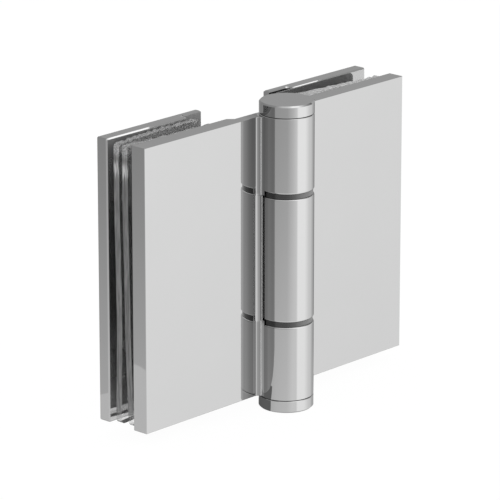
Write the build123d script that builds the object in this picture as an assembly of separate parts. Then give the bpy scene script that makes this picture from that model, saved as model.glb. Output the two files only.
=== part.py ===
from build123d import *
from math import sqrt
import os

# A hinge that joins two glass panes edge to edge. Millimetres, +Z up, +X to the right, +Y to the back.
# The barrel stands in front of the panes. Sections are drawn from the barrel's axis and moved at the
# end, so that the origin is the middle of the whole hinge.

# Leaves
leaf_height = 90.0
leaf_reach = 58.5        # from the barrel's axis to a leaf's outer end
front_thickness = 5.4
back_thickness = 4.4
glass_gap = 10.4         # between the front leaf and its back plate
leaf_bevel = 0.1
back_plate_bevel = 0.4

# Barrel
barrel_radius = 8.6
barrel_forward = 3.8     # from the leaves' front faces forward to the axis
middle_knuckle = 39.6
washer_gap = 1.6
stack_rise = 0.4         # how far the outer knuckles stand beyond the leaves' ends
rim_round = 0.5          # rims of the knuckles beside a washer
seam_bevel = 0.15        # rims of a knuckle and of a cap where they meet
seam_gap = 0.15          # between them
root_fillet = 2.0        # where a leaf's face runs into its own knuckle
lip_fillet = 1.6         # where it turns towards a knuckle of the other leaf
swing_clearance = 0.5    # round the other leaf's knuckles
end_clearance = 0.4      # above and below them

# The thinned root of a front leaf, on its glass side
root_start = 15.5        # from the axis to the foot of the slope
root_cut = 1.8

# The back plates, with a rebate that leaves room for the panes' seal
back_start = 15.4        # from the axis to the plate's inner end
rebate_width = 8.6
rebate_depth = 2.1
rebate_round = 1.0

# Pin, bushes, washers and caps
pin_radius = 4.0
pin_bevel = 0.5
pin_seat_clearance = 0.02
running_clearance = 0.05
bush_wall = 1.5
bush_length = 12.0
middle_bore_clearance = 0.4
washer_recess = 0.4
washer_play = 0.05       # above and below a washer
washer_bore_clearance = 0.15
cap_height = 3.85
cap_bevel = 0.45
spigot_radius = 6.0
spigot_length = 4.5
spigot_clearance = 0.02
spigot_end_gap = 0.5

# Clamp screws, their bosses on the front leaf and the sleeves round them
screw_x = 36.5           # from the barrel's axis
screw_spacing = 48.0
thread_radius = 2.95
thread_clearance = 0.05
head_radius = 5.9
head_sink = 0.2
head_clearance = 0.1
socket_across_flats = 4.0
socket_depth = 2.3
screw_bite = 1.4         # how far the tip reaches into the front leaf's plate
bore_end_gap = 0.6
tip_bevel = 0.5
boss_radius = 5.0
boss_height = 5.5
sleeve_clearance = 0.1
sleeve_wall = 1.4
sleeve_end_gap = 1.0     # short of the back plate, so that the clamp can close

# Gaskets, which hang loose on the sleeves
gasket_thickness = 1.7
gasket_width = 37.0
gasket_short = 1.0       # shorter than the leaf
gasket_round = 1.7
gasket_slot_clearance = 0.3
gasket_slot_travel = 4.2  # how far a gasket can slide along the leaf, each way
front_gasket_gap = 0.5   # from the front leaf to its gasket
back_gasket_gap = 2.3    # from the back gasket to the back plate
left_gasket_shift = 2.6  # the loose gaskets rest off centre, outward being positive
right_front_shift = 1.6
right_back_shift = -4.0

# Levels seen from the barrel's axis
face_y = barrel_forward
leaf_back_y = face_y + front_thickness
plate_front_y = leaf_back_y + glass_gap
plate_back_y = plate_front_y + back_thickness
root_back_y = leaf_back_y - root_cut
knuckle_half = middle_knuckle / 2
outer_foot = knuckle_half + washer_gap
leaf_top = leaf_height / 2
stack_top = leaf_top + stack_rise
spigot_seat = stack_top - spigot_length - spigot_end_gap
bush_radius = pin_radius + running_clearance + bush_wall
washer_radius = barrel_radius - washer_recess
sleeve_radius = boss_radius + sleeve_clearance + sleeve_wall
screw_tip_y = leaf_back_y - screw_bite
screw_head_y = plate_back_y - head_sink

# The barrel's axis, seen from the middle of the whole hinge
barrel_y = (barrel_radius - plate_back_y) / 2

RIGHT = 1
LEFT = -1


def on_side(shape, side):
    """A shape drawn for the right leaf, or its mirror image for the left one."""
    return shape if side == RIGHT else mirror(shape, about=Plane.YZ)


def column(radius, low, high):
    """An upright cylinder round the barrel's axis."""
    middle = (low + high) / 2
    return Pos(0, 0, middle) * Cylinder(radius, high - low)


def rod(radius, x, z, low_y, high_y):
    """A cylinder that runs from front to back."""
    start = Plane(origin=(x, low_y, z), z_dir=(0, 1, 0))
    return extrude(start * Circle(radius), high_y - low_y)


def screw_places():
    """The x and z of the two screws of a right leaf."""
    return [(screw_x, screw_spacing / 2), (screw_x, -screw_spacing / 2)]


def leaf_section(clearance, fillet_radius):
    """Plan of a right front leaf: a flat face, a fillet towards the barrel, and a thinned root.

    The fillet ends at the barrel's surface, or short of it by the clearance.
    """
    end_radius = barrel_radius + clearance
    fillet_y = face_y - fillet_radius
    centre = Vector(sqrt((end_radius + fillet_radius) ** 2 - fillet_y**2), fillet_y)
    on_face = Vector(centre.X, face_y)
    at_barrel = centre * (end_radius / centre.length)
    bisector = (on_face - centre).normalized() + (at_barrel - centre).normalized()
    on_arc = centre + bisector.normalized() * fillet_radius
    inside_knuckle = (sqrt(barrel_radius**2 - root_back_y**2) - leaf_bevel, root_back_y)
    slope_head = (root_start + root_cut, leaf_back_y)
    rest = Polyline(
        at_barrel,
        inside_knuckle,
        (root_start, root_back_y),
        slope_head,
        (leaf_reach, leaf_back_y),
        (leaf_reach, face_y),
        on_face,
    )
    return make_face(ThreePointArc(on_face, on_arc, at_barrel) + rest)


def break_edges(plate, size):
    """Bevel the edges round a plate's top, bottom and outer end."""
    by_height = plate.faces().sort_by(Axis.Z)
    outer_end = plate.faces().sort_by(Axis.X)[-1]
    rims = by_height[0].edges() + by_height[-1].edges() + outer_end.edges()
    return chamfer(ShapeList(dict.fromkeys(rims)), size)


def leaf_plate(own_spans, free_spans):
    """The plate of a right front leaf, with its screw bosses.

    It runs into its own knuckles over the own spans, and clears the other leaf's over the free ones.
    """
    own_section = leaf_section(0, root_fillet)
    free_section = leaf_section(swing_clearance, lip_fillet)
    plate = Part()
    for section, spans in ((own_section, own_spans), (free_section, free_spans)):
        for low, high in spans:
            plate += Pos(0, 0, low) * extrude(section, high - low)
    plate = break_edges(plate, leaf_bevel)
    for low, high in free_spans:
        plate -= column(barrel_radius + swing_clearance, low, high)
    for x, z in screw_places():
        plate += rod(boss_radius, x, z, leaf_back_y, leaf_back_y + boss_height)
        bore_end = screw_tip_y - bore_end_gap
        plate -= rod(thread_radius + thread_clearance, x, z, bore_end, leaf_back_y + boss_height)
    return plate


def rims_of(body):
    """The round edges of an upright piece, from the lowest to the highest."""
    return body.edges().filter_by(GeomType.CIRCLE).sort_by(Axis.Z)


def end_knuckle(way):
    """A knuckle under a cap, bored for the pin and for the cap's spigot."""
    body = column(barrel_radius, outer_foot, stack_top)
    body = fillet(rims_of(body)[0], rim_round)
    body = chamfer(rims_of(body)[-1], seam_bevel)
    body -= column(pin_radius + pin_seat_clearance, outer_foot, stack_top)
    body -= column(spigot_radius + spigot_clearance, spigot_seat, stack_top)
    return body if way == 1 else mirror(body, about=Plane.XY)


def bored_middle_knuckle():
    """The middle knuckle, bored for a bush at each end."""
    body = column(barrel_radius, -knuckle_half, knuckle_half)
    body = fillet(rims_of(body), rim_round)
    body -= column(pin_radius + middle_bore_clearance, -knuckle_half, knuckle_half)
    for way in (1, -1):
        low, high = sorted((way * (knuckle_half - bush_length), way * knuckle_half))
        body -= column(bush_radius, low, high)
    return body


def left_front_leaf():
    """The left leaf carries the top and bottom knuckles."""
    reach = knuckle_half + end_clearance
    leaf = leaf_plate([(-leaf_top, -reach), (reach, leaf_top)], [(-reach, reach)])
    leaf = on_side(leaf, LEFT)
    leaf -= column(barrel_radius, -leaf_top, leaf_top)
    return leaf + end_knuckle(1) + end_knuckle(-1)


def right_front_leaf():
    """The right leaf carries the middle knuckle."""
    reach = outer_foot - end_clearance
    leaf = leaf_plate([(-reach, reach)], [(-leaf_top, -reach), (reach, leaf_top)])
    leaf -= column(barrel_radius, -leaf_top, leaf_top)
    return leaf + bored_middle_knuckle()


def back_plate(side):
    """A clamp plate with a rebate along its inner end and two countersunk holes."""
    rebate_end = back_start + rebate_width
    rebate_y = plate_front_y + rebate_depth
    section = make_face(
        Polyline(
            (back_start, plate_back_y),
            (back_start, rebate_y),
            (rebate_end, rebate_y),
            (rebate_end, plate_front_y),
            (leaf_reach, plate_front_y),
            (leaf_reach, plate_back_y),
            (back_start, plate_back_y),
        )
    )
    step = section.vertices().sort_by_distance((rebate_end, rebate_y))[0]
    section = fillet(step, rebate_round)
    plate = extrude(section, leaf_height / 2, both=True)
    plate = break_edges(plate, back_plate_bevel)
    for x, z in screw_places():
        plate -= rod(thread_radius + head_clearance, x, z, plate_front_y, plate_back_y)
        plate -= countersink(x, z)
    return on_side(plate, side)


def countersink(x, z):
    """The cone in a back plate that takes a screw's head, and the short round mouth above it."""
    mouth = head_radius + head_clearance
    throat = thread_radius + head_clearance
    cone_depth = mouth - throat
    mouth_plane = Plane(origin=(x, screw_head_y, z), z_dir=(0, -1, 0))
    cone = mouth_plane * Cone(mouth, throat, cone_depth, align=(Align.CENTER, Align.CENTER, Align.MIN))
    return cone + rod(mouth, x, z, screw_head_y, plate_back_y)


def clamp_screw(side, x, z):
    """A countersunk screw with a hexagon socket, its head sunk in the back plate."""
    length = screw_head_y - screw_tip_y
    cone = head_radius - thread_radius
    profile = Polyline(
        (0, 0),
        (head_radius, 0),
        (thread_radius, cone),
        (thread_radius, length - tip_bevel),
        (thread_radius - tip_bevel, length),
        (0, length),
        (0, 0),
    )
    body = revolve(Plane.XZ * make_face(profile), Axis.Z)
    socket = RegularPolygon(socket_across_flats / 2, 6, major_radius=False)
    body -= extrude(socket, socket_depth)
    place = Plane(origin=(x, screw_head_y, z), z_dir=(0, -1, 0))
    return on_side(place * body, side)


def screw_sleeve(side, x, z):
    """A plastic tube round a screw boss, which keeps the glass off the metal."""
    end_y = plate_front_y - sleeve_end_gap
    tube = rod(sleeve_radius, x, z, leaf_back_y, end_y)
    tube -= rod(boss_radius + sleeve_clearance, x, z, leaf_back_y, end_y)
    return on_side(tube, side)


def gasket(side, low_y, shift):
    """A soft pad with round corners and a slot round each sleeve, in which it can slide."""
    high_y = low_y + gasket_thickness
    height = leaf_height - gasket_short
    place = Plane(origin=(screw_x + shift, low_y, 0), x_dir=(1, 0, 0), z_dir=(0, -1, 0))
    outline = RectangleRounded(gasket_width, height, gasket_round)
    slot_radius = sleeve_radius + gasket_slot_clearance
    for _, z in screw_places():
        outline -= Pos(0, z) * SlotCenterToCenter(2 * gasket_slot_travel, 2 * slot_radius)
    return on_side(extrude(place * outline, low_y - high_y), side)


def front_gasket(side, shift):
    return gasket(side, leaf_back_y + front_gasket_gap, shift)


def back_gasket(side, shift):
    return gasket(side, plate_front_y - back_gasket_gap - gasket_thickness, shift)


def hinge_pin():
    """The pin through all three knuckles, held between the two caps."""
    pin = column(pin_radius, -spigot_seat, spigot_seat)
    return chamfer(pin.edges().filter_by(GeomType.CIRCLE), pin_bevel)


def bush(way):
    """A plain bush, flush with one end of the middle knuckle."""
    low, high = sorted((way * (knuckle_half - bush_length), way * knuckle_half))
    return column(bush_radius, low, high) - column(pin_radius + running_clearance, low, high)


def washer(way):
    """The dark ring between two knuckles."""
    low, high = sorted((way * (knuckle_half + washer_play), way * (outer_foot - washer_play)))
    return column(washer_radius, low, high) - column(pin_radius + washer_bore_clearance, low, high)


def cap(way):
    """A flat round cap with a spigot that is pressed into the end of the barrel."""
    seat = stack_top + seam_gap
    head = column(barrel_radius, seat, seat + cap_height)
    head = chamfer(rims_of(head)[0], seam_bevel)
    head = chamfer(rims_of(head)[-1], cap_bevel)
    whole = head + column(spigot_radius, stack_top - spigot_length, seat)
    return whole if way == 1 else mirror(whole, about=Plane.XY)


def hinge():
    """Every piece by name, seen from the barrel's axis."""
    pieces = {
        "left_front_leaf": left_front_leaf(),
        "right_front_leaf": right_front_leaf(),
        "left_back_plate": back_plate(LEFT),
        "right_back_plate": back_plate(RIGHT),
        "top_cap": cap(1),
        "bottom_cap": cap(-1),
        "upper_washer": washer(1),
        "lower_washer": washer(-1),
        "hinge_pin": hinge_pin(),
        "upper_bush": bush(1),
        "lower_bush": bush(-1),
    }
    pieces["left_front_gasket"] = front_gasket(LEFT, left_gasket_shift)
    pieces["left_back_gasket"] = back_gasket(LEFT, left_gasket_shift)
    pieces["right_front_gasket"] = front_gasket(RIGHT, right_front_shift)
    pieces["right_back_gasket"] = back_gasket(RIGHT, right_back_shift)
    for name, side in (("left", LEFT), ("right", RIGHT)):
        for level, (x, z) in zip(("upper", "lower"), screw_places()):
            pieces[f"{name}_{level}_screw"] = clamp_screw(side, x, z)
            pieces[f"{name}_{level}_sleeve"] = screw_sleeve(side, x, z)
    return pieces


os.makedirs("parts", exist_ok=True)
for name, piece in hinge().items():
    export_step(Pos(0, barrel_y, 0) * piece, f"parts/{name}.step")
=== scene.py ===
from dataclasses import dataclass
from math import cos, pi, radians, sin

import bmesh
import bpy
from mathutils import Matrix, Vector, noise


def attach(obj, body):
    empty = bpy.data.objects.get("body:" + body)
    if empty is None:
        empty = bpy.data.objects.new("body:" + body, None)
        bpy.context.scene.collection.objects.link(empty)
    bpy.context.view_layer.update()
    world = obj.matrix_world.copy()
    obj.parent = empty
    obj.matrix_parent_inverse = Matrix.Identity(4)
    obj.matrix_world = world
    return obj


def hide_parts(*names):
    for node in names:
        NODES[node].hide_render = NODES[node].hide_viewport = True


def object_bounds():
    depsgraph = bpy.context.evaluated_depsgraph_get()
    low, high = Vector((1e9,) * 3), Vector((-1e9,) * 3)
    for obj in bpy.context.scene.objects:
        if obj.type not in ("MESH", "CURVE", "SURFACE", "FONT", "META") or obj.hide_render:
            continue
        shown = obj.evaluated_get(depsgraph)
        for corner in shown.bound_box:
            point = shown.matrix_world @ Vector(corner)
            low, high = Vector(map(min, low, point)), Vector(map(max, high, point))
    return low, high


bl_info = {
    "name": "Glass hinge dressing",
    "version": (1, 0, 0),
    "blender": (4, 5, 0),
    "location": "3D View > Sidebar > Hinge",
    "description": "Finishes a glass-to-glass hinge and sets its studio",
    "category": "Object",
}

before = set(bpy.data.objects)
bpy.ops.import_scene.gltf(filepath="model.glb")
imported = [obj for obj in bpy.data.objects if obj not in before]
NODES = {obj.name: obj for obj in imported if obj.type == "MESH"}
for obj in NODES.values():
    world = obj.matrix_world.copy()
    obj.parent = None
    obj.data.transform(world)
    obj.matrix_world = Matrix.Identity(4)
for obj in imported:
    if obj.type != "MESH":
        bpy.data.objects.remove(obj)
CAD_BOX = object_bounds()
FLOOR_LEVEL = CAD_BOX[0][2]


def nodes_ending(*endings):
    """The CAD nodes of one kind, by the last word of their names."""
    return tuple(name for name in sorted(NODES) if name.endswith(endings))


POLISHED_NODES = nodes_ending("_leaf", "_plate", "_cap")
WASHER_NODES = nodes_ending("_washer")
SLEEVE_NODES = nodes_ending("_sleeve")
STEEL_NODES = nodes_ending("_screw", "_pin")
BUSH_NODES = nodes_ending("_bush")
GASKET_NODES = nodes_ending("_gasket")

# Zones of the plating, in metres. An edge is where a zone isn't there yet and where it is there in
# full, and a zone with two edges lies between them.
JOINT_Y = -0.0077  # depth of the barrel's axis, from which the radii below are measured
HEIGHT_OF_OUTER_KNUCKLES = (0.0200, 0.0210)  # above and below the hinge's middle
# The painted shade at the leaves' roots lies in the next five zones.
RADIUS_PAST_BARREL = (0.0090, 0.0094)
RADIUS_IN_FILLET = (0.0105, 0.0101)
RADIUS_IN_ROOT = (0.0150, 0.0112)
RADIUS_PAST_LIP = (0.0104, 0.0107)
RADIUS_ON_LIP = (0.0101, 0.0096)
RADIUS_IN_RELIEF = ((0.00900, 0.00905), (0.00920, 0.00915))
# A painted lighter reflection lies in the next zone, at the root's foot beside the lower knuckle.
RADIUS_AT_FILLET_FOOT = ((0.00860, 0.00862), (0.00895, 0.00880))
HEIGHT_AT_FILLET_FOOT = ((-0.0452, -0.0450), (-0.0205, -0.0215))
DEPTH_IN_SLOT = ((0.0014, 0.0015), (0.0120, 0.0119))
DEPTH_IN_REBATE = ((0.0119, 0.0120), (0.01405, 0.0140))
ACROSS_LEFT_REBATE = ((-0.0246, -0.0245), (-0.0004, -0.0005))
SATIN_MIDDLE = 0.004  # height at which the inner faces scatter least
SATIN_REACH = 0.042  # from there to where they scatter most
SATIN_LEAST = 0.2
SATIN_IN_REBATE = 3.0
# Shares of that painted root shade in the fillets and on the lips
FILLET_SHADE_SHARE = 0.5
LIP_SHADE_SHARE = 0.9
HAZE_BLUR = 0.012
WASHER_LIT_SIDE = (-0.0070, 0.0015)
SLEEVE_MOTTLE = 0.04
GRAIN_DULLNESS = 0.92
STEEL_ROUGHNESS = 0.22
BRASS_ROUGHNESS = 0.25

# Marks in the clear vinyl
BROAD_FACE = (0.3, 0.8)  # square of how much a face looks to the front or back
MARK_CONTRAST = (0.35, 0.65)
STREAK_LENGTH = 0.1  # squeeze of the noise upwards
STREAK_LIGHT = 0.5
STREAK_MIDDLE = 0.6
HEAD_LEAST = 0.1
FOOT_LINE_FADE = 0.2  # share of the foot's fade

# How the gaskets bend. Heights are shares of half the gasket's height, from its middle up.
SAG_TOP = 0.75
SAG_FOOT = -0.35
FOOT = -1.0
RIM_FOOT = 0.985
RIM_SINK = 0.7  # the rim's waves lie this much below the moulded edge
RIM_OFFSET = Vector((9.0, 0.0, 0.0))  # keeps the waves in depth apart from those in height
SEED_STEP = 0.01
MERGE_DISTANCE = 1e-6
CUT_DISTANCE = 1e-7

# The room as the plating mirrors it: degrees from +X towards +Y, then the light of a ray that runs
# level, of one that runs steeply down to the table, and of one that rises.
RING = (
    (0, 0.89, 0.89, 0.25),
    (19, 0.78, 0.83, 0.35),
    (43, 0.71, 0.78, 0.40),
    (90, 0.44, 0.89, 0.45),
    (137, 0.43, 0.92, 0.50),
    (180, 0.60, 1.09, 1.00),
    (225, 0.64, 1.16, 1.15),
    (249, 0.91, 1.31, 1.35),
    (265, 1.20, 1.20, 1.70),
    (272, 1.67, 1.56, 1.90),
    (305, 1.67, 1.53, 1.80),
    (317, 1.49, 1.38, 1.30),
    (330, 1.27, 1.24, 0.80),
    (345, 1.22, 1.20, 0.50),
)
LEVEL, STEEP, RISING = 1, 2, 3  # columns of the ring
STEEP_RAYS = (-0.24, -0.38)  # upward share of a ray's direction
RISING_RAYS = (0.36, 0.44)

# Cards that only the mirroring pieces see: two lamps above the right front, the shaded table beside
# the barrel on both sides, and the lit table behind the left end. Outlines are in metres.
LAMP_HEIGHT = 0.145
LAMP_DEPTH = (-0.037, -0.019)
LAMPS = ((0.0420, 0.0620), (0.1346, 0.1475))
CARD_LIFT = 0.0001
SHADE_OUTLINE = (
    (0.0085, -0.0089),
    (0.0185, -0.0045),
    (0.0315, -0.0020),
    (0.0315, 0.0090),
    (0.0030, 0.0090),
    (0.0030, -0.0030),
)
LIT_OUTLINE = (
    (-0.0590, -0.0060),
    (-0.1093, 0.0445),
    (-0.1121, 0.0517),
    (-0.1127, 0.0575),
    (-0.0890, 0.0399),
    (-0.0834, 0.0415),
    (-0.0815, 0.0420),
    (-0.0590, 0.0190),
)

SENSOR_WIDTH = 36.0  # millimetres
CLIP_START = 0.01
BOUNCES = 24


class Signal:
    """A shader value that takes part in Python arithmetic; each step adds its Math node."""

    def __init__(self, shader, socket):
        self.shader = shader
        self.socket = socket

    def _math(self, operation, *values, clamp=False):
        settings = {"operation": operation, "use_clamp": clamp}
        return self.shader.node("ShaderNodeMath", settings, *values)[0]

    def __add__(self, other):
        return self._math("ADD", self, other)

    def __radd__(self, other):
        return self._math("ADD", other, self)

    def __sub__(self, other):
        return self._math("SUBTRACT", self, other)

    def __rsub__(self, other):
        return self._math("SUBTRACT", other, self)

    def __mul__(self, other):
        return self._math("MULTIPLY", self, other)

    def __rmul__(self, other):
        return self._math("MULTIPLY", other, self)

    def __truediv__(self, other):
        return self._math("DIVIDE", self, other)

    def __pow__(self, other):
        return self._math("POWER", self, other)

    def sine(self):
        return self._math("SINE", self)

    def angle_from(self, other):
        return self._math("ARCTAN2", self, other)

    def clamped(self):
        return self._math("ADD", self, 0.0, clamp=True)

    def ramp_between(self, low, high):
        """0 below low, 1 above high, and a smooth climb between."""
        settings = {"interpolation_type": "SMOOTHSTEP"}
        return self.shader.node("ShaderNodeMapRange", settings, self, low, high)[0]

    def between(self, first_edge, second_edge):
        """1 between two edges, each a pair of where it is still 0 and where it is 1."""
        return self.ramp_between(*first_edge) * self.ramp_between(*second_edge)


class Shader:
    """One node tree, with a single method that makes its nodes."""

    def __init__(self, tree):
        self.tree = tree
        self.tree.nodes.clear()

    def node(self, kind, settings=None, *values, **named):
        """Make a node, set it up, feed its sockets by order or by name, and return its outputs."""
        made = self.tree.nodes.new(kind)
        for key, value in (settings or {}).items():
            if key == "stops":
                self._set_stops(made.color_ramp, value)
            else:
                setattr(made, key, value)
        enabled = [s for s in made.inputs if s.enabled]
        for socket, value in zip(enabled, values):
            self._feed(socket, value)
        for name, value in named.items():
            wanted = name.replace("_", " ").lower()
            socket = next(s for s in made.inputs if s.name.lower() == wanted and s.enabled)
            self._feed(socket, value)
        return [Signal(self, s) for s in made.outputs if s.enabled]

    def _set_stops(self, ramp, stops):
        while len(ramp.elements) > 1:
            ramp.elements.remove(ramp.elements[-1])
        for number, (place, colour) in enumerate(stops):
            element = ramp.elements[0] if number == 0 else ramp.elements.new(place)
            element.position = place
            element.color = colour

    def _feed(self, socket, value):
        if isinstance(value, Signal):
            self.tree.links.new(value.socket, socket)
        else:
            socket.default_value = value

    def outputs(self, kind):
        """Make a node that takes nothing, and return its outputs by name."""
        return {signal.socket.name: signal for signal in self.node(kind)}

    def place(self, scale=(1.0, 1.0, 1.0)):
        """Object coordinates in metres, stretched or squeezed along each axis."""
        coordinates = self.outputs("ShaderNodeTexCoord")["Object"]
        return self.node("ShaderNodeMapping", None, Vector=coordinates, Scale=scale)[0]

    def noise(self, place, scale, detail=3.0, roughness=0.5):
        named = {"Vector": place, "Scale": scale, "Detail": detail, "Roughness": roughness}
        return self.node("ShaderNodeTexNoise", None, **named)[0]

    def split(self, vector):
        return self.node("ShaderNodeSeparateXYZ", None, vector)

    def mix_colour(self, factor, first, second):
        settings = {"data_type": "RGBA"}
        return self.node("ShaderNodeMix", settings, factor, first, second)[0]

    def as_grey(self, value):
        """A value as a grey colour."""
        return self.mix_colour(value.clamped(), grey(0.0), grey(1.0))

    def bump(self, height, strength, distance):
        named = {"Strength": strength, "Distance": distance, "Height": height}
        return self.node("ShaderNodeBump", None, **named)[0]


def grey(level):
    return (level, level, level, 1.0)


def new_material(name):
    material = bpy.data.materials.new(name)
    material.use_nodes = True
    return material, Shader(material.node_tree)


def finish_material(shader, **sockets):
    """Close a tree with one Principled shader."""
    surface = shader.node("ShaderNodeBsdfPrincipled", None, **sockets)[0]
    shader.node("ShaderNodeOutputMaterial", None, Surface=surface)


def root_shade(from_axis, z):
    """Painted shade and painted dark reflections beside the barrel: in the fillets, on the roots
    and on the lips.
    """
    past_barrel = from_axis.ramp_between(*RADIUS_PAST_BARREL)
    beside_outer = (z * z).ramp_between(*(level**2 for level in HEIGHT_OF_OUTER_KNUCKLES))
    beside_middle = 1.0 - beside_outer
    in_fillet = beside_outer * past_barrel * from_axis.ramp_between(*RADIUS_IN_FILLET)
    in_root = past_barrel * from_axis.ramp_between(*RADIUS_IN_ROOT)
    in_root = in_root * (beside_outer + beside_middle * from_axis.ramp_between(*RADIUS_PAST_LIP))
    on_lip = beside_middle * past_barrel * from_axis.ramp_between(*RADIUS_ON_LIP)
    return FILLET_SHADE_SHARE * in_fillet + in_root + LIP_SHADE_SHARE * on_lip


def polished_chrome(look):
    """Mirror plating with a faint haze, painted root shade, satin on the inner faces."""
    material, shader = new_material("polished_chrome")
    place = shader.place()
    x, y, z = shader.split(place)
    from_axis = (x**2.0 + (y - JOINT_Y) ** 2.0) ** 0.5
    haze = shader.noise(place, scale=60.0, detail=4.0)
    in_relief = from_axis.between(*RADIUS_IN_RELIEF)
    in_slot = y.between(*DEPTH_IN_SLOT)
    in_rebate = x.between(*ACROSS_LEFT_REBATE) * y.between(*DEPTH_IN_REBATE)
    painted_light_at_foot = from_axis.between(*RADIUS_AT_FILLET_FOOT) * z.between(*HEIGHT_AT_FILLET_FOOT)

    darker, lighter = look.chrome_tone - look.chrome_haze, look.chrome_tone + look.chrome_haze
    tone = shader.mix_colour(haze, grey(darker), grey(lighter))
    # Painted shade at the leaves' roots, darkening the plating and what it mirrors there
    shade = look.root_shade * root_shade(from_axis, z)
    tone = shader.mix_colour(shade.clamped(), tone, grey(look.painted_shade_grey))
    tone = shader.mix_colour(in_relief, tone, grey(look.relief_tone))
    # Painted lighter reflection at the root's foot beside the lower knuckle
    tone = shader.mix_colour(painted_light_at_foot, tone, grey(look.fillet_foot_painted_light))

    from_middle = z - SATIN_MIDDLE
    near_end = (from_middle * from_middle).ramp_between(0.0, SATIN_REACH**2)
    inner_faces = (SATIN_LEAST + near_end) * in_slot + SATIN_IN_REBATE * in_rebate
    satin = in_relief + look.slot_satin * inner_faces
    roughness = look.chrome_roughness + HAZE_BLUR * haze + look.relief_roughness * in_relief
    finish_material(
        shader,
        Base_Color=tone,
        Metallic=1.0 - satin.clamped(),
        Roughness=roughness,
        Specular_Tint=grey(look.chrome_rim),
    )
    return material


def black_nylon(look):
    """Satin black plastic with faint turning lines, painted lighter towards the lit right side."""
    material, shader = new_material("black_nylon")
    place = shader.place()
    across, _, up = shader.split(place)
    lines = (up * look.washer_lines).sine() * 0.5 + 0.5
    speckle = shader.noise(place, scale=1800.0)
    mottle = 0.9 + 0.2 * speckle
    # Painted light: paler towards the right, where the light falls
    tone = look.washer_tone + look.washer_painted_light * across.ramp_between(*WASHER_LIT_SIDE)
    finish_material(
        shader,
        Base_Color=shader.as_grey(tone * mottle),
        Roughness=0.15 + 0.1 * speckle,
        IOR=1.7,
        Normal=shader.bump(lines + speckle, strength=0.1, distance=0.00002),
    )
    return material


def clear_vinyl(look, name, warp):
    """Soft clear plastic: its broad faces let light through, its cut edges are milky."""
    material, shader = new_material(name + "_vinyl")
    place = shader.place()
    z = shader.split(place)[2]
    facing = shader.split(shader.outputs("ShaderNodeTexCoord")["Normal"])[1]
    broad = (facing * facing).ramp_between(*BROAD_FACE)
    head = z.ramp_between(look.head_level - look.head_fade, look.head_level)
    foot = z.between(
        (look.foot_top, look.foot_top - look.foot_fade),
        (look.foot_line, look.foot_line + FOOT_LINE_FADE * look.foot_fade),
    )
    # A band of painted glint across the pads
    glint_band = z.between(
        (look.painted_glint_level + look.painted_glint_reach, look.painted_glint_level),
        (look.painted_glint_level - look.painted_glint_reach, look.painted_glint_level),
    )
    upright = shader.place(scale=(1.0, 1.0, STREAK_LENGTH))
    streaks = shader.noise(upright, scale=1500.0).ramp_between(*MARK_CONTRAST)
    speckle = shader.noise(place, scale=2600.0, detail=2.0, roughness=0.6)
    speckle = speckle.ramp_between(*MARK_CONTRAST)

    # Streaks in the plastic, plus the painted glint
    marks = STREAK_LIGHT * (streaks - STREAK_MIDDLE) + look.painted_glint * glint_band * streaks
    tone = warp.tone * (1.0 + warp.grain * marks)
    # Lighter grains near the tops: a speckled skin, lightened further as painted light
    tone = tone + head * warp.grain * look.head_grain_and_painted_light * (speckle + HEAD_LEAST)
    clear_face = broad * warp.clearness * (1.0 - warp.milky_head * head)
    clear_foot = look.foot_clearness * foot
    clear_edge = warp.edge_clearness * (1.0 - broad)
    relief = (streaks + head * speckle) * warp.grain
    finish_material(
        shader,
        Base_Color=shader.as_grey(tone),
        Roughness=look.vinyl_roughness + 0.15 * streaks,
        IOR=1.45,
        Transmission_Weight=warp.depth,
        Alpha=(1.0 - clear_face) * (1.0 - clear_foot) * (1.0 - clear_edge),
        Normal=shader.bump(relief, strength=0.5, distance=0.0002),
    )
    return material


def white_nylon(look):
    """Plain nylon, which shows only at the gaskets' slots."""
    material, shader = new_material("white_nylon")
    speckle = shader.noise(shader.place(), scale=900.0)
    darker, lighter = look.sleeve_tone - SLEEVE_MOTTLE, look.sleeve_tone + SLEEVE_MOTTLE
    tone = shader.mix_colour(speckle, grey(darker), grey(lighter))
    finish_material(shader, Base_Color=tone, Roughness=0.4 + 0.1 * speckle)
    return material


def turned_metal(name, colour, roughness):
    """Machined metal with a fine grain."""
    material, shader = new_material(name)
    grain = shader.noise(shader.place(), scale=2200.0, detail=2.0)
    duller = tuple(GRAIN_DULLNESS * channel for channel in colour)
    finish_material(
        shader,
        Base_Color=shader.mix_colour(grain, (*duller, 1.0), (*colour, 1.0)),
        Metallic=1.0,
        Roughness=roughness + 0.06 * grain,
        Normal=shader.bump(grain, strength=0.08, distance=0.00003),
    )
    return material


def coat(names, material):
    """Give CAD nodes a material, in every slot that they have."""
    for name in names:
        slots = NODES[name].material_slots
        for slot in slots:
            slot.material = material
        if not slots:
            NODES[name].data.materials.append(material)


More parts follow.
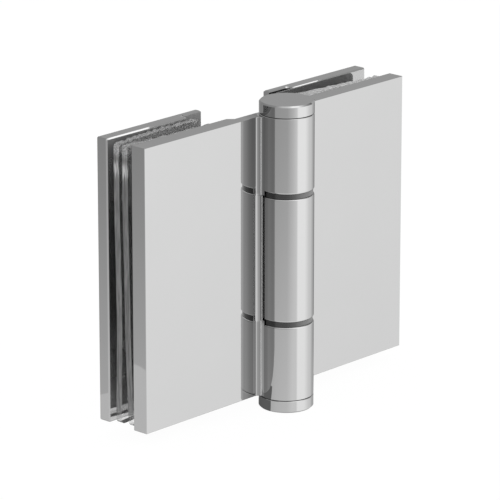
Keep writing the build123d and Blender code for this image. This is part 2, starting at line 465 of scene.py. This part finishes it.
class HingeLook(bpy.types.PropertyGroup):
    """Colours and finishes of the hinge."""

    chrome_tone: bpy.props.FloatProperty(
        name="Chrome",
        description="How much light the plating gives back",
        default=0.45,
        min=0,
        max=1,
        subtype="FACTOR",
    )
    chrome_haze: bpy.props.FloatProperty(
        name="Chrome haze",
        description="How much that varies from place to place",
        default=0.006,
        min=0,
        max=1,
        subtype="FACTOR",
    )
    chrome_roughness: bpy.props.FloatProperty(
        name="Chrome roughness",
        description="Blur of the reflections",
        default=0.03,
        min=0,
        max=1,
        subtype="FACTOR",
    )
    chrome_rim: bpy.props.FloatProperty(
        name="Chrome rim",
        description="How much light it gives back at a grazing angle",
        default=0.7,
        min=0,
        max=1,
        subtype="FACTOR",
    )
    # Strength of the painted shade at the leaves' roots
    root_shade: bpy.props.FloatProperty(
        name="Root shade",
        description="How much duller the plating is at the leaves' roots",
        default=0.32,
        min=0,
        max=1,
        subtype="FACTOR",
    )
    # Grey of that painted shade
    painted_shade_grey: bpy.props.FloatProperty(
        name="Root tone",
        description="Grey that it turns to there",
        default=0.06,
        min=0,
        max=1,
        subtype="FACTOR",
    )
    # Painted light: the plating's tone where its mirrored root is painted lighter, beside the lower
    # knuckle
    fillet_foot_painted_light: bpy.props.FloatProperty(
        name="Fillet foot",
        description="How much light the plating gives back beside the lower knuckle",
        default=0.8,
        min=0,
        max=1,
        subtype="FACTOR",
    )
    relief_tone: bpy.props.FloatProperty(
        name="Relief tone",
        description="Grey of the satin relief that is bored round the knuckles",
        default=0.6,
        min=0,
        max=1,
        subtype="FACTOR",
    )
    relief_roughness: bpy.props.FloatProperty(
        name="Relief roughness",
        description="How matt that relief is",
        default=0.5,
        min=0,
        max=1,
        subtype="FACTOR",
    )
    slot_satin: bpy.props.FloatProperty(
        name="Slot satin",
        description="Share of the light that the inner faces scatter",
        default=0.27,
        min=0,
        max=1,
        subtype="FACTOR",
    )
    washer_tone: bpy.props.FloatProperty(
        name="Washers",
        description="Grey of the black washers",
        default=0.006,
        min=0,
        max=1,
        subtype="FACTOR",
    )
    # Painted light on the washers' right side
    washer_painted_light: bpy.props.FloatProperty(
        name="Washers' lit side",
        description="How much paler they are towards the right",
        default=0.13,
        min=0,
        max=1,
        subtype="FACTOR",
    )
    washer_lines: bpy.props.FloatProperty(
        name="Washers' lines",
        description="Fineness of the turning lines, in radians a metre",
        default=9000.0,
        min=0,
    )
    sleeve_tone: bpy.props.FloatProperty(
        name="Sleeves",
        description="Grey of the screw bosses' nylon sleeves",
        default=0.72,
        min=0,
        max=1,
        subtype="FACTOR",
    )
    steel: bpy.props.FloatVectorProperty(
        name="Steel",
        description="Colour of the screws and the pin",
        default=(0.62, 0.62, 0.62),
        min=0,
        max=1,
        subtype="COLOR",
    )
    brass: bpy.props.FloatVectorProperty(
        name="Brass",
        description="Colour of the bushes",
        default=(0.72, 0.57, 0.30),
        min=0,
        max=1,
        subtype="COLOR",
    )
    vinyl_roughness: bpy.props.FloatProperty(
        name="Gasket roughness",
        description="Blur of what is seen through the gaskets",
        default=0.08,
        min=0,
        max=1,
        subtype="FACTOR",
    )
    # Speckled skin near the tops, partly painted light
    head_grain_and_painted_light: bpy.props.FloatProperty(
        name="Head speckle",
        description="How much lighter the grains near the gaskets' tops are",
        default=0.5,
        min=0,
        max=1,
        subtype="FACTOR",
    )
    head_level: bpy.props.FloatProperty(
        name="Head",
        description="Height above which the gaskets are milky",
        default=0.0425,
        unit="LENGTH",
    )
    head_fade: bpy.props.FloatProperty(
        name="Head fade",
        description="Height over which they turn milky",
        default=0.0030,
        unit="LENGTH",
    )
    # Painted glint: how much lighter the band across the pads is
    painted_glint: bpy.props.FloatProperty(
        name="Crease",
        description="How much paler the plastic is where it bends",
        default=2.8,
        min=0,
    )
    # Height of the painted glint's band
    painted_glint_level: bpy.props.FloatProperty(
        name="Crease level",
        description="Height of the bend",
        default=0.0362,
        unit="LENGTH",
    )
    # Half the height of that painted band
    painted_glint_reach: bpy.props.FloatProperty(
        name="Crease reach",
        description="Half the paler band's height",
        default=0.0035,
        unit="LENGTH",
    )
    foot_top: bpy.props.FloatProperty(
        name="Foot",
        description="Height below which the gaskets turn clear",
        default=-0.0400,
        unit="LENGTH",
    )
    foot_line: bpy.props.FloatProperty(
        name="Foot line",
        description="Height of the milky line along the foot",
        default=-0.0438,
        unit="LENGTH",
    )
    foot_fade: bpy.props.FloatProperty(
        name="Foot fade",
        description="Height over which they turn clear",
        default=0.0020,
        unit="LENGTH",
    )
    foot_clearness: bpy.props.FloatProperty(
        name="Foot clearness",
        description="Share of light that passes there",
        default=0.7,
        min=0,
        max=1,
        subtype="FACTOR",
    )
    gasket_step: bpy.props.FloatProperty(
        name="Gasket mesh",
        description="Largest piece of a bowed gasket's mesh",
        default=0.001,
        unit="LENGTH",
    )
    rim_wave: bpy.props.FloatProperty(
        name="Rim wave",
        description="How uneven the gaskets' rims are",
        default=0.0006,
        unit="LENGTH",
    )
    rim_grain: bpy.props.FloatProperty(
        name="Rim grain",
        description="Waves in a metre of rim",
        default=700.0,
        min=0,
    )


class HingeStudio(bpy.types.PropertyGroup):
    """Camera and surroundings."""

    azimuth: bpy.props.FloatProperty(
        name="Azimuth",
        description="Camera's angle round the hinge",
        default=radians(-47.02),
        subtype="ANGLE",
    )
    elevation: bpy.props.FloatProperty(
        name="Elevation",
        description="Camera's angle above the hinge",
        default=radians(17.09),
        subtype="ANGLE",
    )
    distance: bpy.props.FloatProperty(
        name="Distance",
        description="From the camera to the hinge",
        default=1.2492,
        unit="LENGTH",
    )
    lens: bpy.props.FloatProperty(
        name="Lens",
        description="Focal length in millimetres",
        default=289.8,
        min=1,
    )
    aim_right: bpy.props.FloatProperty(
        name="Aim right",
        description="Aim point, to the right of the barrel's middle",
        default=-0.0085,
        unit="LENGTH",
    )
    aim_up: bpy.props.FloatProperty(
        name="Aim up",
        description="Aim point, above the hinge's middle",
        default=0.0004,
        unit="LENGTH",
    )
    face_y: bpy.props.FloatProperty(
        name="Face",
        description="Depth of the leaves' front faces, at which the camera aims",
        default=-0.0039,
        unit="LENGTH",
    )
    room_light: bpy.props.FloatProperty(
        name="Room",
        description="Light that the matt pieces get from all sides",
        default=0.9,
        min=0,
    )
    shade: bpy.props.FloatProperty(
        name="Shade",
        description="Light from the table close under the leaves",
        default=0.215,
        min=0,
    )
    lit_table: bpy.props.FloatProperty(
        name="Lit table",
        description="Light from the table behind the left end",
        default=0.96,
        min=0,
    )
    lamp: bpy.props.FloatProperty(
        name="Lamp",
        description="Brightness of the two lamps above the right front",
        default=2.2,
        min=0,
    )
    floor_tone: bpy.props.FloatProperty(
        name="Floor",
        description="Grey of the floor",
        default=0.9,
        min=0,
        max=1,
        subtype="FACTOR",
    )
    floor_glow: bpy.props.FloatProperty(
        name="Floor glow",
        description="White that the camera sees on the floor",
        default=1.02,
        min=0,
    )
    floor_white: bpy.props.FloatProperty(
        name="Floor white",
        description="Share of that white; the rest shows the shadow",
        default=0.95,
        min=0,
        max=1,
        subtype="FACTOR",
    )
    floor_reach: bpy.props.FloatProperty(
        name="Floor reach",
        description="Half the floor's width",
        default=3.0,
        unit="LENGTH",
    )


class HINGE_OT_polish(bpy.types.Operator):
    """Plate the leaves, the back plates and the caps"""

    bl_idname = "hinge.polish"
    bl_label = "Polish the leaves and caps"

    def execute(self, context):
        coat(POLISHED_NODES, polished_chrome(context.scene.hinge_look))
        return {"FINISHED"}


class HINGE_OT_washers(bpy.types.Operator):
    """Finish the dark rings between the knuckles"""

    bl_idname = "hinge.washers"
    bl_label = "Finish the washers"

    def execute(self, context):
        coat(WASHER_NODES, black_nylon(context.scene.hinge_look))
        return {"FINISHED"}


@dataclass(frozen=True)
class Warp:
    """How a loose gasket hangs in its slot, and how it looks. Lengths are in metres."""

    thickness: float  # factor on the gasket's own thickness
    outer_shift: tuple  # of the outer end towards the front leaf, at the top, sag and foot
    inner_shift: float  # of the rest of the gasket
    bend: tuple  # where the outer end starts to leave the rest and has left it, in half widths
    seed: float  # gives each gasket its own uneven rim
    # grey of the plastic; on the right pads it also holds painted shade and painted light
    tone: float
    clearness: float  # share of light that passes the broad faces
    milky_head: float  # how far that ends near the top
    depth: float = 0.0  # share of light that goes into the plastic
    grain: float = 1.0  # how streaky and speckled it is
    edge_clearness: float = 0.0  # share of light that passes the edges
    slide: float = 0.0  # outward along the leaf
    reach: float = 0.0  # how much further the inner end reaches
    tilt: float = 0.0  # in the gasket's own plane, outer end up
    drop: float = 0.0  # below its place in the frame
    curl: float = 0.0  # share of half the height, from the top, in which the inner shift ends


GASKET_WARPS = {
    "left_back_gasket": Warp(
        thickness=1.35,
        outer_shift=(0.0006, 0.00125, 0.0006),
        inner_shift=-0.0016,
        bend=(-0.05, 1.0),
        seed=3.0,
        tone=0.32,
        clearness=0.7,
        milky_head=0.9,
        depth=0.5,
        slide=0.0006,
        reach=0.0006,
    ),
    "left_front_gasket": Warp(
        thickness=1.35,
        outer_shift=(-0.0018, -0.00115, 0.0),
        inner_shift=-0.0004,
        bend=(0.3, 1.0),
        seed=11.0,
        tone=0.30,
        clearness=0.7,
        milky_head=0.9,
        depth=0.5,
        slide=0.0006,
        reach=0.0006,
        tilt=0.010,
    ),
    "right_back_gasket": Warp(
        thickness=0.3,
        outer_shift=(-0.0017, -0.0017, -0.0017),
        inner_shift=-0.0017,
        bend=(-1.0, 1.0),
        seed=23.0,
        # A dark grey that stands in for the slot's shade, which this clear pad mirrors: painted
        # shade
        tone=0.17,
        clearness=0.5,
        milky_head=0.6,
        grain=0.0,
        edge_clearness=0.2,
        slide=-0.0003,
        drop=-0.0008,
    ),
    "right_front_gasket": Warp(
        thickness=1.6,
        outer_shift=(-0.0006, -0.0004, 0.0),
        inner_shift=-0.0042,
        bend=(-0.9, 0.6),
        seed=41.0,
        # A pale grey that stands in for the light from above that this pad catches: painted light
        tone=0.78,
        clearness=0.3,
        milky_head=1.0,
        depth=0.5,
        grain=0.55,
        curl=0.13,
    ),
}


def cut_along(shape, axis, step):
    """Cut a mesh by planes at equal steps along one axis, so that it can bend."""
    places = [vert.co[axis] for vert in shape.verts]
    low, high = min(places), max(places)
    normal = Vector()
    normal[axis] = 1.0
    count = int((high - low) / step)
    for number in range(1, count):
        point = normal * (low + (high - low) * number / count)
        geometry = shape.verts[:] + shape.edges[:] + shape.faces[:]
        bmesh.ops.bisect_plane(
            shape, geom=geometry, plane_co=point, plane_no=normal, dist=CUT_DISTANCE
        )


def share(value):
    """The value, kept between 0 and 1."""
    return min(1.0, max(0.0, value))


def forward_shift(warp, across, height):
    """How far a spot moves towards the front leaf, by its place in shares of half the size."""
    top, sag, foot = warp.outer_shift
    sagging = 0.5 - 0.5 * cos(pi * share((SAG_TOP - height) / (SAG_TOP - SAG_FOOT)))
    near_foot = max(0.0, (SAG_FOOT - height) / (SAG_FOOT - FOOT))
    outer = top + (sag - top) * sagging + (foot - sag) * near_foot
    inner = warp.inner_shift
    if warp.curl:
        inner *= share(1.0 - (1.0 - height) / warp.curl)
    bend_from, bend_to = warp.bend
    return inner + (outer - inner) * share((across - bend_from) / (bend_to - bend_from))


def bowed_gasket(name, warp, look):
    """A warped copy of a gasket, with an uneven moulded rim."""
    source = NODES[name]
    shape = bmesh.new()
    shape.from_mesh(source.data)
    bmesh.ops.remove_doubles(shape, verts=shape.verts[:], dist=MERGE_DISTANCE)
    shape.transform(source.matrix_world)
    low, high = (
        Vector([end(vert.co[axis] for vert in shape.verts) for axis in range(3)])
        for end in (min, max)
    )
    middle, half = (low + high) / 2, (high - low) / 2
    outward = 1.0 if middle.x > 0 else -1.0
    cut_along(shape, 2, look.gasket_step)
    cut_along(shape, 0, look.gasket_step)
    for vert in shape.verts:
        across = (vert.co.x - middle.x) * outward
        height = (vert.co.z - middle.z) / half.z
        depth = (vert.co.y - middle.y) * warp.thickness
        spot = Vector((vert.co.x, warp.seed * SEED_STEP, vert.co.z)) * look.rim_grain
        rim = max(0.0, (height - RIM_FOOT) / (1.0 - RIM_FOOT)) * warp.grain * look.rim_wave
        vert.co.x += outward * (warp.slide + min(0.0, across) * warp.reach / half.x)
        vert.co.y = middle.y + depth - forward_shift(warp, across / half.x, height)
        vert.co.y += rim * noise.noise(spot + RIM_OFFSET)
        vert.co.z += across * warp.tilt - warp.drop + rim * (noise.noise(spot) - RIM_SINK)
    mesh = bpy.data.meshes.new(name + "_bowed")
    shape.to_mesh(mesh)
    shape.free()
    made = bpy.data.objects.new(name + "_bowed", mesh)
    bpy.context.scene.collection.objects.link(made)
    return made


class HINGE_OT_gaskets(bpy.types.Operator):
    """Hang the clear pads that hold the glass, a little warped"""

    bl_idname = "hinge.gaskets"
    bl_label = "Hang the gaskets"

    def execute(self, context):
        look = context.scene.hinge_look
        for name in GASKET_NODES:
            warp = GASKET_WARPS[name]
            made = bowed_gasket(name, warp, look)
            made.data.materials.clear()
            made.data.materials.append(clear_vinyl(look, name, warp))
            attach(made, name.split("_")[0] + "_leaf")
            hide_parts(name)
        return {"FINISHED"}


class HINGE_OT_inner_parts(bpy.types.Operator):
    """Finish the pin, the bushes, the screws and their sleeves"""

    bl_idname = "hinge.inner_parts"
    bl_label = "Finish the inner parts"

    def execute(self, context):
        look = context.scene.hinge_look
        coat(SLEEVE_NODES, white_nylon(look))
        coat(STEEL_NODES, turned_metal("stainless_steel", look.steel, STEEL_ROUGHNESS))
        coat(BUSH_NODES, turned_metal("bearing_brass", look.brass, BRASS_ROUGHNESS))
        return {"FINISHED"}


def ring_stops(column):
    """One column of the ring as the stops of a ramp that runs once round, from +Y."""
    stops = sorted(((row[0] - 90.0) % 360.0 / 360.0, grey(row[column])) for row in RING)
    return stops + [(1.0, stops[0][1])]


def studio_world(studio):
    """White for the camera; for the metal, a soft room with a bright window at the front right."""
    world = bpy.data.worlds.new("studio")
    world.use_nodes = True
    shader = Shader(world.node_tree)
    x, y, z = shader.split(shader.outputs("ShaderNodeTexCoord")["Generated"])
    turn = x.angle_from(-1.0 * y) / (2.0 * pi) + 0.5
    level, steep, rising = (
        shader.node("ShaderNodeValToRGB", {"stops": ring_stops(column)}, turn)[0]
        for column in (LEVEL, STEEP, RISING)
    )
    room = shader.mix_colour(z.ramp_between(*STEEP_RAYS), level, steep)
    room = shader.mix_colour(z.ramp_between(*RISING_RAYS), room, rising)
    rays = shader.outputs("ShaderNodeLightPath")
    sharp = (rays["Is Glossy Ray"] + rays["Is Transmission Ray"]).clamped()
    colour = shader.mix_colour(sharp, grey(studio.room_light), room)
    colour = shader.mix_colour(rays["Is Camera Ray"], colour, grey(1.0))
    background = shader.node("ShaderNodeBackground", None, Color=colour, Strength=1.0)[0]
    shader.node("ShaderNodeOutputWorld", None, Surface=background)
    return world


def floor_material(studio):
    """A pale floor that the camera sees as nearly white, with the shadow kept faint."""
    material, shader = new_material("floor")
    is_camera = shader.outputs("ShaderNodeLightPath")["Is Camera Ray"]
    matt = shader.node("ShaderNodeBsdfDiffuse", None, Color=grey(studio.floor_tone))[0]
    glow = {"Color": grey(1.0), "Strength": studio.floor_glow}
    white = shader.node("ShaderNodeEmission", None, **glow)[0]
    share_of_white = is_camera * studio.floor_white
    surface = shader.node("ShaderNodeMixShader", None, share_of_white, matt, white)[0]
    shader.node("ShaderNodeOutputMaterial", None, Surface=surface)
    return material


def card_material(light):
    """A card's even light."""
    material, shader = new_material("card")
    glow = shader.node("ShaderNodeEmission", None, Color=grey(1.0), Strength=light)[0]
    shader.node("ShaderNodeOutputMaterial", None, Surface=glow)
    return material


class HINGE_OT_stage(bpy.types.Operator):
    """Set the floor, the light and the camera"""

    bl_idname = "hinge.stage"
    bl_label = "Set the studio"

    def execute(self, context):
        scene = context.scene
        studio = scene.hinge_studio
        scene.view_settings.view_transform = "Standard"
        scene.world = studio_world(studio)
        scene.cycles.max_bounces = BOUNCES
        scene.cycles.glossy_bounces = BOUNCES
        scene.cycles.transmission_bounces = BOUNCES
        scene.cycles.transparent_max_bounces = BOUNCES
        self.lay_floor(scene, studio)
        self.hang_cards(scene, studio)
        self.set_camera(scene, studio)
        return {"FINISHED"}

    def lay_floor(self, scene, studio):
        mesh = bpy.data.meshes.new("floor")
        shape = bmesh.new()
        bmesh.ops.create_grid(shape, x_segments=1, y_segments=1, size=studio.floor_reach)
        bmesh.ops.translate(shape, verts=shape.verts, vec=(0.0, 0.0, FLOOR_LEVEL))
        shape.to_mesh(mesh)
        shape.free()
        floor = bpy.data.objects.new("floor", mesh)
        floor.data.materials.append(floor_material(studio))
        floor.visible_glossy = False
        scene.collection.objects.link(floor)

    def hang_cards(self, scene, studio):
        """Lamps above and the shaded and the lit table below, for the plating to mirror."""
        table = FLOOR_LEVEL + CARD_LIFT
        front, rear = LAMP_DEPTH
        for left, right in LAMPS:
            corners = ((left, front), (right, front), (right, rear), (left, rear))
            self.hang_card(scene, corners, LAMP_HEIGHT, studio.lamp)
        for side in (-1.0, 1.0):
            corners = [(side * x, y) for x, y in SHADE_OUTLINE]
            self.hang_card(scene, corners, table, studio.shade)
        self.hang_card(scene, LIT_OUTLINE, table, studio.lit_table)

    def hang_card(self, scene, corners, level, light):
        mesh = bpy.data.meshes.new("card")
        shape = bmesh.new()
        shape.faces.new([shape.verts.new((x, y, level)) for x, y in corners])
        shape.to_mesh(mesh)
        shape.free()
        card = bpy.data.objects.new("card", mesh)
        card.data.materials.append(card_material(light))
        card.visible_camera = False
        card.visible_diffuse = False
        card.visible_transmission = False
        card.visible_shadow = False
        scene.collection.objects.link(card)

    def set_camera(self, scene, studio):
        turn, rise = studio.azimuth, studio.elevation
        back = Vector((sin(turn) * cos(rise), -cos(turn) * cos(rise), sin(rise)))
        right = Vector((cos(turn), sin(turn), 0.0))
        up = back.cross(right)
        aim = Vector((0.0, studio.face_y, 0.0))
        aim += studio.aim_right * right + studio.aim_up * up
        data = bpy.data.cameras.new("camera")
        data.lens = studio.lens
        data.sensor_width = SENSOR_WIDTH
        data.clip_start = CLIP_START
        camera = bpy.data.objects.new("camera", data)
        axes = Matrix((right, up, back)).transposed()
        camera.matrix_world = Matrix.Translation(aim + studio.distance * back) @ axes.to_4x4()
        scene.collection.objects.link(camera)
        scene.camera = camera


class HINGE_PT_panel(bpy.types.Panel):
    """Steps that dress the hinge, in order"""

    bl_idname = "HINGE_PT_panel"
    bl_label = "Glass hinge"
    bl_space_type = "VIEW_3D"
    bl_region_type = "UI"
    bl_category = "Hinge"

    def draw(self, context):
        column = self.layout.column()
        for group in (context.scene.hinge_look, context.scene.hinge_studio):
            for key in group.bl_rna.properties.keys():
                if key not in ("rna_type", "name"):
                    column.prop(group, key)
        for step in STEPS:
            column.operator(step.bl_idname)


STEPS = (HINGE_OT_polish, HINGE_OT_washers, HINGE_OT_gaskets, HINGE_OT_inner_parts, HINGE_OT_stage)
CLASSES = (HingeLook, HingeStudio, *STEPS, HINGE_PT_panel)


def register():
    for cls in CLASSES:
        bpy.utils.register_class(cls)
    bpy.types.Scene.hinge_look = bpy.props.PointerProperty(type=HingeLook)
    bpy.types.Scene.hinge_studio = bpy.props.PointerProperty(type=HingeStudio)


def unregister():
    del bpy.types.Scene.hinge_studio
    del bpy.types.Scene.hinge_look
    for cls in reversed(CLASSES):
        bpy.utils.unregister_class(cls)


def main():
    register()
    bpy.ops.hinge.polish()
    bpy.ops.hinge.washers()
    bpy.ops.hinge.gaskets()
    bpy.ops.hinge.inner_parts()
    bpy.ops.hinge.stage()


if __name__ == "__main__":
    main()
